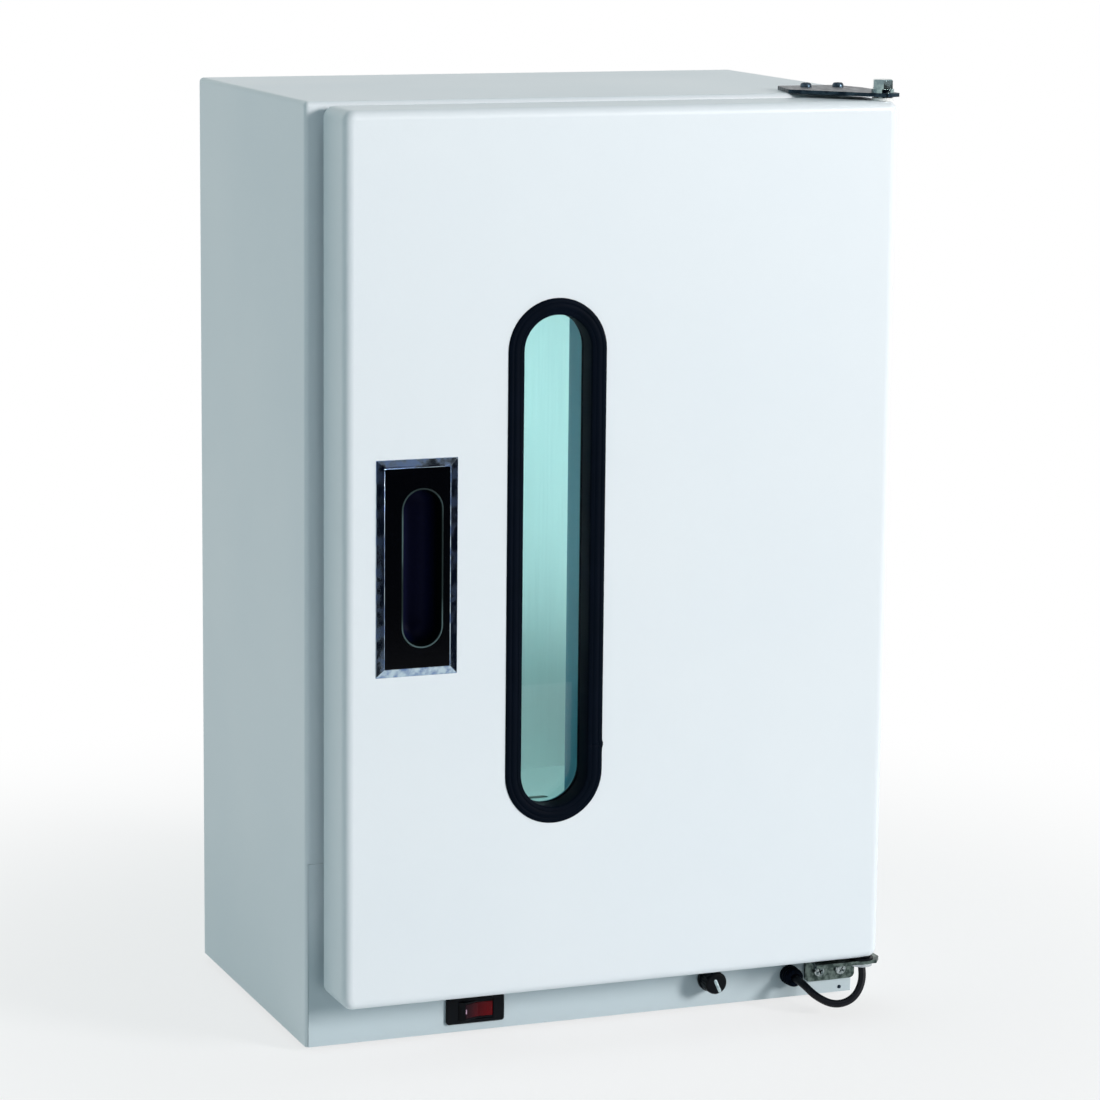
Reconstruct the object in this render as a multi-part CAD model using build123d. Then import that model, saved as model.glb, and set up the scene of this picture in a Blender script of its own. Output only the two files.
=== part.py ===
from build123d import *
import math
import os

# A bench or wall cabinet that disinfects small tools with ultraviolet lamps behind a side-hung door.
# Frame: X to the right, Y to the back, Z up. X = 0 is the middle of the width, Z = 0 is under the
# feet, and Y = 0 is the middle of the overall depth. The functions below count Y from the front
# face of the body; every solid is moved to the shared frame as it is saved.

# Body casing
body_width = 320
body_depth = 190
body_height = 500
sheet = 1.2
bend_radius = 2.5
return_width = 12
seam = 0.2

# Feet
foot_height = 3
foot_diameter = 18
foot_inset = 25
foot_bevel = 0.8
foot_screw = 4
foot_screw_length = 5

# Stainless chamber
chamber_side = 24
chamber_floor_height = 100
chamber_roof_gap = 20
chamber_depth = 165
liner_sheet = 0.8
liner_corner = 12
liner_rim = 9

# Door
door_thickness = 34
door_gap = 6
door_left_inset = 8
door_right_inset = 4
door_lift = 30
door_drop = 2
door_sheet = 1
door_edge_radius = 5
door_corner_radius = 6
gasket_inset = 7
gasket_width = 7.5
gasket_gap = 0.3

# Window in the door
window_inset = 115.75
window_centre_height = 261.3
window_width = 54.5
window_height = 278
rubber_face_width = 8.75
rubber_proud = 1.5
rubber_neck = 4.5
rubber_lip = 3
glass_setback = 11
glass_thickness = 4
glass_bite = 2
reveal_wall = 1.2
reveal_growth = 1
reveal_flange = 5
reveal_reach = 9
reveal_corner = 2

# Recessed handle in the door
handle_inset = 39.1
handle_centre_height = 263.5
handle_width = 44.4
handle_height = 113.4
handle_bevel = 4.5
handle_edge = 0.3
handle_land = 0.4
handle_proud = 1.5
handle_seat = 2
handle_tub = 1
plate_thickness = 2
plate_sink = 0.3
cup_offset = 2.7
cup_drop = 0.2
cup_rim_proud = 0.3
cup_width = 20.6
cup_height = 81.6
cup_depth = 17
cup_wall = 1.2
cup_floor_radius = 4

# Pivot hinges
pivot_inset = 7
hinge_plate = 2
pivot_bolt_diameter = 6
bolt_head_flats = 10
bolt_head_height = 5
bolt_washer_diameter = 12
bolt_washer_thickness = 2
sleeve_diameter = 7.6
sleeve_bore = 5.6
sleeve_rise = 13
collar_diameter = 12
collar_height = 1.5
washer_diameter = 13
washer_thickness = 1.2
bush_wall = 1.2
bush_length = 14
bush_flange = 1.4
bush_flange_rim = 1.5
block_size = 11.6
top_plate_width = 50
top_plate_reach = 29
top_plate_slant = 6
top_plate_edge = 3
bracket_width = 40
bracket_wall_width = 30
bracket_wall_lift = 8
hinge_screw = 4
top_hinge_screw_length = 7
bracket_screw_length = 8
screw_insets = ((32, 18), (14, 16))
bracket_screw_insets = ((22, 14), (9, 14))
running_fit = 0.05
seat_fit = 0.1

# Door lead
lead_diameter = 4.2
gland_diameter = 11
gland_length = 8.5
gland_neck = 8
gland_inset = 39.2
gland_height = 13

# Lamps
lamp_diameter = 16
lamp_length = 288
lamp_cap_length = 12
lamp_pin_diameter = 2.4
lamp_pin_length = 6
lamp_pin_spacing = 5
lamp_corner_inset = 36
holder_width = 20
holder_height = 18
reflector_sheet = 0.6
reflector_leg = 12
reflector_reach = 50
door_lamp_inset = 96
door_lamp_depth = 12
trough_depth = 24
trough_width = 30
trough_slope = 4
trough_lip = 6
trough_end_room = 3

# Shelf and floor plate
shelf_height = 393
runner_leg = 12
runner_sheet = 1
shelf_front = 10
shelf_depth = 86
frame_wire = 4
cross_wire = 2.5
cross_wires = 15
shelf_corner = 10
floor_plate_margin = 8
floor_plate_height = 3
floor_plate_sheet = 1
floor_plate_corner = 6
floor_slot_length = 20
floor_slot_width = 5
floor_slot_pitch = 34
floor_row_pitch = 30

# Controls on the base panel
switch_inset = 95.1
switch_height = 11.9
switch_width = 33
switch_tall = 14.6
switch_proud = 2
switch_body_width = 27
switch_body_tall = 13
rocker_radius = 12.6
rocker_tall = 10
rocker_pivot_depth = 6
rocker_tilt = 10
rocker_pin = 3
rocker_clearance = 0.3
rocker_dip = 1.5
rocker_rise = 3
lens_width = 16.8
lens_tall = 8
lens_depth = 2.4
knob_inset = 88.8
knob_height = 16.3
knob_diameter = 13.6
knob_length = 11
knob_flutes = 14
knob_skirt = 2.5
knob_step = 0.5
knob_clearance = 0.8
knob_flute_diameter = 1.6
knob_face = 4
shaft_diameter = 6
shaft_reach = 20
timer_bush_diameter = 9
nut_flats = 11
nut_thickness = 2
timer_width = 36
timer_tall = 34
timer_depth = 30

# Door switch above the chamber
plunger_inset = 60
plunger_diameter = 4
plunger_gap = 0.3
plunger_body_width = 20
plunger_body_tall = 8
plunger_body_depth = 16
plunger_inside = 10
vent_columns = 6
vent_pitch = 30
vent_width = 4
vent_length = 30
vent_rows_y = (61, 129)

# Electrical parts in the base
ballast_x = 15
ballast_y = 79
ballast_width = 110
ballast_depth = 38
ballast_height = 26
ballast_tab = 12
board_inset = 70
board_rear_gap = 45
board_width = 90
board_depth = 60
board_thickness = 1.6
relay_width = 20
relay_depth = 16
relay_height = 15
standoff_height = 8
standoff_diameter = 6
standoff_inset = 6
terminal_inset = 52
terminal_rear_gap = 60
terminal_ways = 4
terminal_pitch = 10
terminal_depth = 20
terminal_height = 16
inlet_inset = 55
inlet_height = 45
inlet_flange = 2
inlet_cut_width = 27
inlet_cut_height = 20
inlet_length = 24
inlet_recess = 16
inlet_mouth_width = 24
inlet_mouth_height = 16
inlet_mouth_bevel = 4
inlet_pin_spacing = 7
inlet_pin_setback = 6.5
inlet_screw = 3
inlet_screw_spacing = 40
inlet_screw_length = 8

# Back cover
louvre_rise = 4
louvre_height = 8
louvre_width = 50
louvre_pitch = 13
louvre_wall = 0.8
louvre_rows = 4
louvre_low_start = 35
louvre_high_start = 45
louvre_low_x = (25, 95)
louvre_high_x = (-60, 60)
cover_screw = 3.5
cover_screw_length = 6

# Positions that follow from the sizes above
left = -body_width / 2
right = body_width / 2
bottom = foot_height
top = bottom + body_height
chamber_half = body_width / 2 - chamber_side
chamber_floor = bottom + chamber_floor_height
chamber_roof = top - chamber_roof_gap
chamber_back = chamber_depth
door_left = left + door_left_inset
door_right = right - door_right_inset
door_bottom = bottom + door_lift
door_top = top - door_drop
window_centre_x = door_left + window_inset
handle_centre_x = door_left + handle_inset
door_lamp_x = door_right - door_lamp_inset
switch_x = left + switch_inset
knob_x = right - knob_inset
gland_x = right - gland_inset
plunger_x = left + plunger_inset
inlet_x = left + inlet_inset
board_x = left + board_inset
board_y = body_depth - board_rear_gap
terminal_x = right - terminal_inset
terminal_y = body_depth - terminal_rear_gap
door_back = -door_gap
door_front = door_back - door_thickness
pivot_x = door_right - pivot_inset
pivot_y = door_front + pivot_inset
window_z = bottom + window_centre_height
handle_z = bottom + handle_centre_height
lamp_z = (chamber_floor + chamber_roof) / 2
lamp_x = chamber_half - lamp_corner_inset
lamp_y = chamber_back - lamp_corner_inset
door_lamp_y = door_back - door_lamp_depth
panel_half = body_width / 2 - sheet - seam
proud = max(rubber_proud, handle_proud)
bracket_top = door_bottom - washer_thickness - gasket_gap
plunger_z = top - bend_radius - plunger_body_tall / 2 - seam
switch_z = bottom + switch_height
knob_z = bottom + knob_height
gland_z = bottom + gland_height
inlet_z = bottom + inlet_height
glass_front = door_front + glass_setback
slot_inner_width = window_width - 2 * rubber_face_width
slot_inner_height = window_height - 2 * rubber_face_width
glass_width = slot_inner_width + 2 * glass_bite
glass_height = slot_inner_height + 2 * glass_bite
trough_low = lamp_z - lamp_length / 2 - holder_height - trough_end_room
trough_high = lamp_z + lamp_length / 2 + holder_height + trough_end_room
centring = (door_gap + door_thickness + proud - body_depth - louvre_rise) / 2


def block(x0, x1, y0, y1, z0, z1):
    """A box between two corners."""
    middle = Pos((x0 + x1) / 2, (y0 + y1) / 2, (z0 + z1) / 2)
    return middle * Box(x1 - x0, y1 - y0, z1 - z0)


def rod_y(diameter, x, z, y0, y1):
    """A round bar along Y."""
    return Pos(x, (y0 + y1) / 2, z) * Rot(90, 0, 0) * Cylinder(diameter / 2, y1 - y0)


def rod_z(diameter, x, y, z0, z1):
    """A round bar along Z."""
    return Pos(x, y, (z0 + z1) / 2) * Cylinder(diameter / 2, z1 - z0)


def face_prism(sketch, x, z, y0, y1):
    """A flat shape drawn as seen from the front, given depth from y0 back to y1."""
    return Pos(x, y1, z) * Rot(90, 0, 0) * extrude(sketch, y1 - y0)


def stadium(width, height, x, z, y0, y1):
    """An upright slot shape with round ends, between two depths."""
    return face_prism(SlotOverall(height, width, rotation=90), x, z, y0, y1)


def folded(points, thickness):
    """The cross-section of a sheet folded along a line of points, with mitred bends."""
    spots = [Vector(*p) for p in points]
    runs = [(b - a).normalized() for a, b in zip(spots, spots[1:])]
    sides = [Vector(-r.Y, r.X) for r in runs]
    upper = []
    lower = []
    for i, spot in enumerate(spots):
        before = sides[max(i - 1, 0)]
        after = sides[min(i, len(sides) - 1)]
        mitre = (before + after) / (1 + before.dot(after))
        upper.append(spot + mitre * (thickness / 2))
        lower.append(spot - mitre * (thickness / 2))
    outline = [(p.X, p.Y) for p in upper + lower[::-1]]
    return make_face(Polyline(*outline, close=True))


def pan_screw(diameter, length):
    """A pan-head screw, head up and shank down from the seat at the origin."""
    head_height = 0.55 * diameter
    head = Pos(0, 0, head_height / 2) * Cylinder(diameter, head_height)
    head = fillet(head.edges().group_by(Axis.Z)[-1], 0.6 * head_height)
    return head + Pos(0, 0, -length / 2) * Cylinder(diameter / 2, length)


to_front = Rot(90, 0, 0)
to_back = Rot(-90, 0, 0)
to_floor = Rot(180, 0, 0)


# Outer wrap: one sheet folded over both sides and the top, with a flange round the chamber mouth
def rounded_shell(x0, x1, y0, y1, z0, z1, radius):
    box = block(x0, x1, y0, y1, z0, z1)
    long_edges = box.edges().filter_by(Axis.Y).group_by(Axis.Z)[-1]
    uprights = box.edges().filter_by(Axis.Z).group_by(Axis.Y)[0]
    brow = box.edges().filter_by(Axis.X).group_by(Axis.Y)[0].sort_by(Axis.Z)[-1:]
    return fillet(long_edges + uprights + brow, radius)


def outer_wrap():
    beyond = 10
    outside = rounded_shell(left, right, 0, body_depth, bottom, top, bend_radius)
    inside = rounded_shell(
        left + sheet, right - sheet, sheet, body_depth + beyond,
        bottom - beyond, top - sheet, bend_radius - sheet)
    wrap = outside - inside
    wrap -= block(-chamber_half, chamber_half, -beyond, 2 * sheet, chamber_floor, chamber_roof)
    wrap -= block(left + sheet, right - sheet, -beyond, 2 * sheet,
                  bottom - beyond, chamber_floor + seam)
    y0 = body_depth - 2 * sheet
    y1 = body_depth - sheet
    inner = right - sheet - return_width
    for x0, x1 in ((left, -inner), (inner, right)):
        wrap += block(x0 + sheet * (x0 < 0) / 2, x1 - sheet * (x1 > 0) / 2, y0, y1,
                      bottom + return_width + seam, top - sheet)
    wrap += block(-inner, inner, y0, y1, top - sheet - return_width, top - sheet / 2)
    for x, z in cover_screw_spots():
        if z > bottom + return_width:
            wrap -= rod_y(cover_screw + 2 * seat_fit, x, z, y0 - beyond, y1 + beyond)
    wrap -= rod_y(plunger_diameter + 1, plunger_x, plunger_z, -beyond, 2 * sheet)
    for x, y in top_screw_spots:
        wrap -= rod_z(hinge_screw + 2 * seat_fit, x, y, top - beyond, top + beyond)
    return wrap


# Where the screws and feet sit
def cover_screw_spots():
    x = right - sheet - return_width / 2
    low = bottom + return_width / 2
    high = top - sheet - return_width / 2
    middle = (low + high) / 2
    return [(-x, middle), (x, middle), (-x, high), (x, high), (0, high), (-x, low), (x, low), (0, low)]


top_screw_spots = [(right - inset, y) for inset, y in screw_insets]
bracket_screw_spots = [(right - inset, bottom + rise) for inset, rise in bracket_screw_insets]
foot_spots = [
    (side * (right - foot_inset), y)
    for side in (-1, 1)
    for y in (foot_inset, body_depth - foot_inset)
]


# Base pan: front panel, floor and a rear upstand in one folded sheet
def base_pan():
    beyond = 10
    pan = block(-panel_half, panel_half, 0, sheet, bottom, chamber_floor)
    pan += block(-panel_half, panel_half, 0, body_depth - sheet, bottom, bottom + sheet)
    rear_y = body_depth - 2 * sheet
    pan += block(-panel_half, panel_half, rear_y, rear_y + sheet, bottom, bottom + return_width)
    opening = Rectangle(switch_body_width + 2 * seat_fit, switch_body_tall + 2 * seat_fit)
    pan -= face_prism(opening, switch_x, switch_z, -beyond, 2 * sheet)
    pan -= rod_y(timer_bush_diameter + 2 * seat_fit, knob_x, knob_z, -beyond, 2 * sheet)
    pan -= rod_y(gland_neck + 2 * seat_fit, gland_x, gland_z, -beyond, 2 * sheet)
    for x, z in bracket_screw_spots:
        pan -= rod_y(hinge_screw + 2 * seat_fit, x, z, -beyond, 2 * sheet)
    for x, z in cover_screw_spots():
        if z < bottom + return_width:
            pan -= rod_y(cover_screw + 2 * seat_fit, x, z, rear_y - beyond, rear_y + beyond)
    for x, y in foot_spots:
        pan -= rod_z(foot_screw + 2 * seat_fit, x, y, bottom - beyond, bottom + beyond)
    vent = extrude(SlotOverall(vent_length, vent_width, rotation=90), beyond, both=True)
    for y in vent_rows_y:
        for column in range(vent_columns):
            pan -= Pos((column - (vent_columns - 1) / 2) * vent_pitch, y, bottom) * vent
    return pan


# Back cover: a flat sheet with pressed louvres, screwed to the returns of the wrap
def louvre(x, z):
    t = louvre_wall
    inset = louvre_height * t * 1.5 / louvre_rise
    hood = make_face(Polyline((0, 0), (louvre_rise, 0), (0, louvre_height), close=True))
    gap = make_face(Polyline(
        (-2 * sheet, -1), (louvre_rise - 1.5 * t, -1), (louvre_rise - 1.5 * t, 0),
        (0, louvre_height - inset), (-2 * sheet, louvre_height - inset), close=True))
    place = Pos(x, body_depth, z)
    outer = place * extrude(Plane.YZ * hood, louvre_width / 2, both=True)
    inner = place * extrude(Plane.YZ * gap, louvre_width / 2 - t, both=True)
    return outer, inner


def back_cover():
    cover = block(-panel_half, panel_half, body_depth - sheet, body_depth,
                  bottom + seam, top - sheet - seam)
    cover = fillet(cover.edges().filter_by(Axis.Y).group_by(Axis.Z)[-1], bend_radius)
    rows = range(louvre_rows)
    spots = [(x, bottom + louvre_low_start + row * louvre_pitch) for x in louvre_low_x for row in rows]
    spots += [(x, top - louvre_high_start - row * louvre_pitch) for x in louvre_high_x for row in rows]
    for x, z in spots:
        outer, inner = louvre(x, z)
        cover = cover + outer - inner
    for x, z in cover_screw_spots():
        cover -= rod_y(cover_screw + 2 * seat_fit, x, z, 0, 2 * body_depth)
    cover -= block(inlet_x - inlet_cut_width / 2 - seat_fit, inlet_x + inlet_cut_width / 2 + seat_fit,
                   0, 2 * body_depth, inlet_z - inlet_cut_height / 2 - seat_fit,
                   inlet_z + inlet_cut_height / 2 + seat_fit)
    for side in (-1, 1):
        cover -= rod_y(inlet_screw + 2 * seat_fit, inlet_x + side * inlet_screw_spacing / 2,
                       inlet_z, 0, 2 * body_depth)
    return cover


def back_cover_screws():
    screws = []
    for x, z in cover_screw_spots():
        screws.append(Pos(x, body_depth, z) * to_back * pan_screw(cover_screw, cover_screw_length))
    return Compound(children=screws)


# Mains inlet in the back cover: flange with two ears, a recess and three contact pins
def power_inlet():
    face = body_depth + inlet_flange
    floor = face - inlet_recess
    half_width = inlet_cut_width / 2
    half_height = inlet_cut_height / 2
    flange = RectangleRounded(inlet_screw_spacing + 10, inlet_cut_height + 3, 3)
    inlet = face_prism(flange, inlet_x, inlet_z, body_depth, face)
    inlet += block(inlet_x - half_width, inlet_x + half_width, body_depth - inlet_length, body_depth,
                   inlet_z - half_height, inlet_z + half_height)
    x = inlet_mouth_width / 2
    z = inlet_mouth_height / 2
    bevel = inlet_mouth_bevel
    mouth = make_face(Polyline(
        (-x, -z), (x, -z), (x, z - bevel), (x - bevel, z), (bevel - x, z), (-x, z - bevel), close=True))
    inlet -= face_prism(mouth, inlet_x, inlet_z, floor, face + 1)
    pin_tip = face - inlet_pin_setback
    for x, z in ((-inlet_pin_spacing, -2), (0, 2), (inlet_pin_spacing, -2)):
        inlet += block(inlet_x + x - 1, inlet_x + x + 1, floor - 1, pin_tip,
                       inlet_z + z - 2, inlet_z + z + 2)
    for side in (-1, 1):
        inlet -= rod_y(inlet_screw + 2 * seat_fit, inlet_x + side * inlet_screw_spacing / 2,
                       inlet_z, 0, 2 * body_depth)
    return inlet


def inlet_screws():
    screws = []
    for side in (-1, 1):
        place = Pos(inlet_x + side * inlet_screw_spacing / 2, body_depth + inlet_flange, inlet_z)
        screws.append(place * to_back * pan_screw(inlet_screw, inlet_screw_length))
    return Compound(children=screws)


# Feet: rubber discs with a sunk screw
def feet():
    head_room = 2 * foot_screw + 1
    discs = []
    for x, y in foot_spots:
        disc = Pos(x, y, foot_height / 2) * Cylinder(foot_diameter / 2, foot_height)
        disc = chamfer(disc.edges().group_by(Axis.Z)[0], foot_bevel)
        disc -= rod_z(foot_screw + 2 * seat_fit, x, y, -1, foot_height + 1)
        disc -= rod_z(head_room, x, y, -1, foot_height - 1)
        discs.append(disc)
    return Compound(children=discs)


def foot_screws():
    flat_screw = pan_screw(foot_screw * 0.9, foot_screw_length)
    return Compound(children=[Pos(x, y, foot_height - 1) * to_floor * flat_screw for x, y in foot_spots])


# Chamber liner: a stainless box open at the front, with a rim behind the casing's flange
def chamber_liner():
    t = liner_sheet
    shell = block(-chamber_half - t, chamber_half + t, sheet, chamber_back + t,
                  chamber_floor - t, chamber_roof + t)
    shell = fillet(shell.edges().filter_by(Axis.Z).group_by(Axis.Y)[-1], liner_corner + t)
    rim = block(-chamber_half - liner_rim, chamber_half + liner_rim, sheet, sheet + t,
                chamber_floor - liner_rim, chamber_roof + liner_rim)
    room = block(-chamber_half, chamber_half, 0, chamber_back, chamber_floor, chamber_roof)
    room = fillet(room.edges().filter_by(Axis.Z).group_by(Axis.Y)[-1], liner_corner)
    return shell + rim - room


# Shelf runners: a folded angle on each side wall, short of the lamp reflectors
def shelf_runners():
    z = bottom + shelf_height
    runners = []
    for side in (-1, 1):
        wall = side * chamber_half
        leg = [wall, wall - side * runner_leg]
        upright = [wall, wall - side * runner_sheet]
        angle = block(min(leg), max(leg), shelf_front, shelf_front + shelf_depth, z, z + runner_sheet)
        angle += block(min(upright), max(upright), shelf_front, shelf_front + shelf_depth,
                       z, z + runner_leg)
        runners.append(angle)
    return Compound(children=runners)


# Wire shelf: a bent frame wire with thinner wires welded across it
def wire_shelf():
    sink = 0.3
    z = bottom + shelf_height + runner_sheet + frame_wire / 2
    width = 2 * (chamber_half - runner_sheet - 1) - frame_wire
    depth = shelf_depth - frame_wire
    middle = shelf_front + shelf_depth / 2
    path = Pos(0, middle, z) * RectangleRounded(width, depth, shelf_corner).wire()
    start = path @ 0
    section = Plane(origin=start, z_dir=path % 0) * Circle(frame_wire / 2)
    shelf = sweep(section, path=path)
    top_z = z + frame_wire / 2 + cross_wire / 2 - sink
    for i in range(cross_wires):
        x = (i - (cross_wires - 1) / 2) * (width - 2 * shelf_corner - frame_wire) / (cross_wires - 1)
        shelf += rod_y(cross_wire, x, top_z, middle - depth / 2, middle + depth / 2)
    return shelf


# Floor plate: a perforated plate with turned-down edges that lies on the chamber floor
def floor_plate():
    t = floor_plate_sheet
    half = chamber_half - floor_plate_margin
    y0 = floor_plate_margin
    y1 = lamp_y - holder_width
    top_z = chamber_floor + floor_plate_height
    plate = block(-half, half, y0, y1, chamber_floor, top_z)
    plate = fillet(plate.edges().filter_by(Axis.Z), floor_plate_corner)
    hollow = block(-half + t, half - t, y0 + t, y1 - t, chamber_floor - 1, top_z - t)
    plate -= fillet(hollow.edges().filter_by(Axis.Z), floor_plate_corner - t)
    hole = extrude(SlotOverall(floor_slot_length, floor_slot_width), floor_plate_height, both=True)
    for row in (-1, 0, 1):
        for column in range(-3, 4):
            plate -= Pos(column * floor_slot_pitch, (y0 + y1) / 2 + row * floor_row_pitch, top_z) * hole
    return plate


# Lamps: glass tube, metal end caps with two pins, and a holder at each end
def lamp_glass(x, y):
    half = lamp_length / 2 - lamp_cap_length
    return rod_z(lamp_diameter - 0.6, x, y, lamp_z - half, lamp_z + half)


def lamp_end_caps(x, y):
    caps = []
    for side in (-1, 1):
        inner = lamp_z + side * (lamp_length / 2 - lamp_cap_length)
        outer = lamp_z + side * lamp_length / 2
        tip = outer + side * lamp_pin_length
        cap = rod_z(lamp_diameter, x, y, min(inner, outer), max(inner, outer))
        cap = fillet(cap.edges().sort_by(Axis.Z)[-1 if side > 0 else 0], 1.2)
        for pin in (-1, 1):
            px = x + pin * lamp_pin_spacing / 2
            cap += rod_z(lamp_pin_diameter, px, y, min(outer - side, tip), max(outer - side, tip))
        caps.append(cap)
    return caps


def holder_pair(x, y0, y1, lamp_axis_y):
    holders = []
    for side in (-1, 1):
        near = lamp_z + side * (lamp_length / 2 + gasket_gap)
        far = near + side * holder_height
        body = block(x - holder_width / 2, x + holder_width / 2, y0, y1, min(near, far), max(near, far))
        body = fillet(body.edges().filter_by(Axis.Z), 2.5)
        for pin in (-1, 1):
            px = x + pin * lamp_pin_spacing / 2
            deep = near + side * (lamp_pin_length + 1)
            body -= rod_z(lamp_pin_diameter + 2 * seat_fit, px, lamp_axis_y,
                          min(near - side, deep), max(near - side, deep))
        holders.append(body)
    return holders


def lamp_tubes():
    return Compound(children=[lamp_glass(side * lamp_x, lamp_y) for side in (-1, 1)])


def lamp_caps():
    return Compound(children=lamp_end_caps(-lamp_x, lamp_y) + lamp_end_caps(lamp_x, lamp_y))


def lamp_holders():
    holders = []
    for side in (-1, 1):
        holders += holder_pair(side * lamp_x, lamp_y - holder_width / 2, chamber_back, lamp_y)
    return Compound(children=holders)


# Corner reflectors: a folded polished strip behind each lamp
def lamp_reflectors():
    t = reflector_sheet
    reach = reflector_reach
    wall = chamber_half - t / 2
    back = chamber_back - t / 2
    points = [(wall, back - reach - reflector_leg), (wall, back - reach),
              (wall - reach, back), (wall - reach - reflector_leg, back)]
    half = lamp_length / 2 - 2
    strip = Pos(0, 0, lamp_z - half) * extrude(folded(points, t), 2 * half)
    return Compound(children=[strip, mirror(strip, about=Plane.YZ)])


# Electrical parts in the base: lamp ballast, control board on posts, and a terminal strip
def on_floor(width, depth, x, y, z, height):
    return block(x - width / 2, x + width / 2, y - depth / 2, y + depth / 2, z, z + height)


def ballast():
    z = bottom + sheet
    case = on_floor(ballast_width, ballast_depth, ballast_x, ballast_y, z, ballast_height)
    case = fillet(case.edges().filter_by(Axis.X), 2)
    foot = on_floor(ballast_width + 2 * ballast_tab, ballast_depth - 16, ballast_x, ballast_y, z, 1.5)
    case += fillet(foot.edges().filter_by(Axis.Z), 4)
    for side in (-1, 1):
        x = ballast_x + side * (ballast_width + ballast_tab) / 2
        case -= rod_z(4.4, x, ballast_y, z - 1, z + 3)
    return case


def board_standoffs():
    z = bottom + sheet
    half_x = board_width / 2 - standoff_inset
    half_y = board_depth / 2 - standoff_inset
    posts = [rod_z(standoff_diameter, board_x + i * half_x, board_y + j * half_y, z, z + standoff_height)
             for i in (-1, 1) for j in (-1, 1)]
    return Compound(children=posts)


def control_board():
    z = bottom + sheet + standoff_height
    board = on_floor(board_width, board_depth, board_x, board_y, z, board_thickness)
    z += board_thickness
    front = board_y - board_depth / 4
    rear = board_y + board_depth / 5
    for x in (board_x - 23, board_x + 5):
        board += on_floor(relay_width, relay_depth, x, front, z, relay_height)
    board += rod_z(10, board_x + 30, front, z, z + relay_height - 1)
    board += on_floor(2 * relay_width, 10, board_x - 13, rear, z, 10)
    return board


def terminal_block():
    z = bottom + sheet
    width = terminal_ways * terminal_pitch
    strip = on_floor(width, terminal_depth, terminal_x, terminal_y, z, terminal_height)
    strip = fillet(strip.edges().filter_by(Axis.X).group_by(Axis.Z)[-1], 2)
    for i in range(terminal_ways):
        x = terminal_x + (i - (terminal_ways - 1) / 2) * terminal_pitch
        for side in (-1, 1):
            y = terminal_y + side * terminal_depth / 5
            strip -= rod_z(terminal_pitch / 2, x, y, z + terminal_height / 2, z + terminal_height + 1)
    return strip


# Mains switch: a snap-in housing with a rocker on two small trunnions
def rocker_axis():
    return Pos(switch_x, rocker_pivot_depth, switch_z)


def switch_housing():
    rear = rocker_pivot_depth + rocker_radius + 3
    bezel = face_prism(RectangleRounded(switch_width, switch_tall, 1.5), switch_x, switch_z,
                       -switch_proud, 0)
    bezel = chamfer(bezel.faces().sort_by(Axis.Y)[0].edges(), 0.5)
    housing = bezel + block(switch_x - switch_body_width / 2, switch_x + switch_body_width / 2,
                            0, rear, switch_z - switch_body_tall / 2, switch_z + switch_body_tall / 2)
    housing -= rocker_axis() * Cylinder(rocker_radius + rocker_clearance,
                                        rocker_tall + 2 * rocker_clearance)
    housing -= rocker_axis() * Cylinder(rocker_pin / 2 + running_fit, switch_body_tall - 1)
    return housing


def rocker_form():
    drum = Cylinder(rocker_radius, rocker_tall)
    end = rocker_radius + 2
    low = -rocker_pivot_depth - rocker_dip
    high = low - rocker_rise
    face = make_face(Polyline((-end, high), (0, low), (end, high), (end, 3), (-end, 3), close=True))
    return drum & extrude(face, rocker_tall, both=True)


def lens_pocket(clearance):
    low = -rocker_pivot_depth - rocker_dip
    return block(-lens_width / 2 - clearance, lens_width / 2 + clearance,
                 -rocker_radius, low + lens_depth + clearance,
                 -lens_tall / 2 - clearance, lens_tall / 2 + clearance)


def switch_rocker():
    rocker = rocker_form() - lens_pocket(seat_fit)
    rocker += Cylinder(rocker_pin / 2, switch_body_tall - 1.2)
    return rocker_axis() * Rot(0, 0, rocker_tilt) * rocker


def switch_lens():
    return rocker_axis() * Rot(0, 0, rocker_tilt) * (rocker_form() & lens_pocket(0))


# Timer: a clockwork body behind the panel, a nut in front, and a fluted knob on the shaft
knob_rear = -nut_thickness - knob_clearance
knob_front = knob_rear - knob_length


def timer_body():
    x0 = knob_x - timer_width / 2
    z0 = bottom + 2 * sheet
    bush_end = knob_rear + knob_clearance / 2
    body = block(x0, x0 + timer_width, sheet, sheet + timer_depth, z0, z0 + timer_tall)
    body = fillet(body.edges().filter_by(Axis.Y), 3)
    body += rod_y(timer_bush_diameter, knob_x, knob_z, bush_end, 2 * sheet)
    body -= rod_y(shaft_diameter + 2 * running_fit, knob_x, knob_z, bush_end - 1, shaft_reach + 1)
    return body


def timer_nut():
    flat = RegularPolygon(nut_flats / 2, 6, major_radius=False)
    nut = face_prism(flat, knob_x, knob_z, -nut_thickness, 0)
    return nut - rod_y(timer_bush_diameter + 2 * seat_fit, knob_x, knob_z, -nut_thickness - 1, 1)


def timer_knob():
    shoulder = knob_rear - knob_skirt
    skirt = rod_y(knob_diameter, knob_x, knob_z, shoulder, knob_rear)
    grip = rod_y(knob_diameter - 2 * knob_step, knob_x, knob_z, knob_front, shoulder)
    grip = fillet(grip.faces().sort_by(Axis.Y)[0].edges(), 1.5)
    for i in range(knob_flutes):
        angle = 2 * math.pi * i / knob_flutes
        x = knob_x + knob_diameter / 2 * math.cos(angle)
        z = knob_z + knob_diameter / 2 * math.sin(angle)
        grip -= rod_y(knob_flute_diameter, x, z, knob_front - 1, shoulder)
    knob = grip + skirt
    return knob - rod_y(shaft_diameter + seat_fit, knob_x, knob_z, knob_front + knob_face, knob_rear + 1)


def timer_shaft():
    return rod_y(shaft_diameter, knob_x, knob_z, knob_front + knob_face + seat_fit, shaft_reach)


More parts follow.
